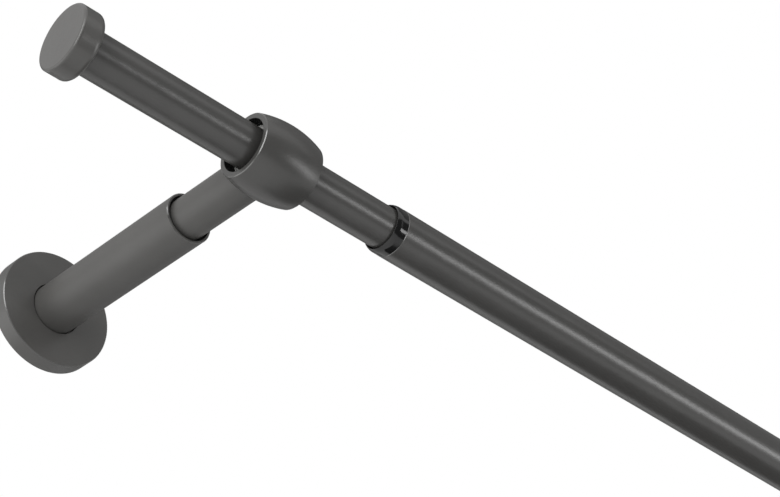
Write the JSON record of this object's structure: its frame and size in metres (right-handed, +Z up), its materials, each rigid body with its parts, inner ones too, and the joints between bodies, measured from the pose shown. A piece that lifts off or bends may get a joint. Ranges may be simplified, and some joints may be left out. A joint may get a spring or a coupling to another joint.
{
  "type": "extendable curtain rod",
  "caption": "Telescopic curtain rod with disc end caps, carried in barrel-shaped rings on two extendable wall arms with round rosettes.",
  "frame": {"origin": "middle of the left wall plate's back face, on the wall and on the left arm's axis", "axes": "+X along the rod to the right, +Y into the wall, +Z up"},
  "size_m": [1.2, 0.1464, 0.048],
  "materials": {
    "anthracite_tube": "satin",
    "anthracite_arm": "satin",
    "anthracite_casting": "satin",
    "anthracite_cap": "satin",
    "black_gloss_collar": "gloss",
    "black_bush": "matte",
    "grey_plastic": "matte",
    "zinc_steel": "satin",
    "zinc_screw": "satin",
    "dark_screw": "satin"
  },
  "bodies": {
    "left_base": {"left_wall_plate": "zinc_steel", "left_rosette": "anthracite_casting", "left_arm_outer_tube": "anthracite_arm", "left_base_set_screw": "dark_screw", "left_arm_guide_bush": "black_bush", "left_arm_clamp_screw": "dark_screw"},
    "left_arm": {"left_arm_inner_tube": "anthracite_arm", "left_arm_end_plug": "zinc_steel", "left_ring_holder": "anthracite_casting", "left_ring_fixing_screw": "zinc_screw", "left_ring_set_screw": "dark_screw", "left_ring_insert": "grey_plastic"},
    "inner_rod": {"inner_tube": "anthracite_tube", "inner_tube_guide": "black_bush", "left_end_cap": "anthracite_cap", "left_cap_plug": "grey_plastic"},
    "outer_rod": {"outer_tube": "anthracite_tube", "transition_collar": "black_gloss_collar", "right_end_cap": "anthracite_cap", "right_cap_plug": "grey_plastic"},
    "right_arm": {"right_arm_inner_tube": "anthracite_arm", "right_arm_end_plug": "zinc_steel", "right_ring_holder": "anthracite_casting", "right_ring_fixing_screw": "zinc_screw", "right_ring_set_screw": "dark_screw"},
    "right_base": {"right_wall_plate": "zinc_steel", "right_rosette": "anthracite_casting", "right_arm_outer_tube": "anthracite_arm", "right_base_set_screw": "dark_screw", "right_arm_guide_bush": "black_bush", "right_arm_clamp_screw": "dark_screw"}
  },
  "joints": [
    {"name": "left_arm_slide", "type": "slide", "parent": "left_base", "child": "left_arm", "axis": [0, -1, 0], "range_m": [-0.028, 0.02]},
    {"name": "rod_slide", "type": "slide", "parent": "left_arm", "child": "inner_rod", "axis": [1, 0, 0], "range_m": [-0.038, 0.066]},
    {"name": "rod_extension", "type": "slide", "parent": "inner_rod", "child": "outer_rod", "axis": [1, 0, 0], "range_m": [0, 0.9]},
    {"name": "right_bracket_slide", "type": "slide", "parent": "outer_rod", "child": "right_arm", "axis": [1, 0, 0], "range_m": [-0.9, 0.066]},
    {"name": "right_arm_slide", "type": "slide", "parent": "right_arm", "child": "right_base", "axis": [0, 1, 0], "range_m": [-0.028, 0.02]}
  ],
  "couplings": [
    {"joint": "right_arm_slide", "follows": "left_arm_slide", "ratio": 1}
  ]
}
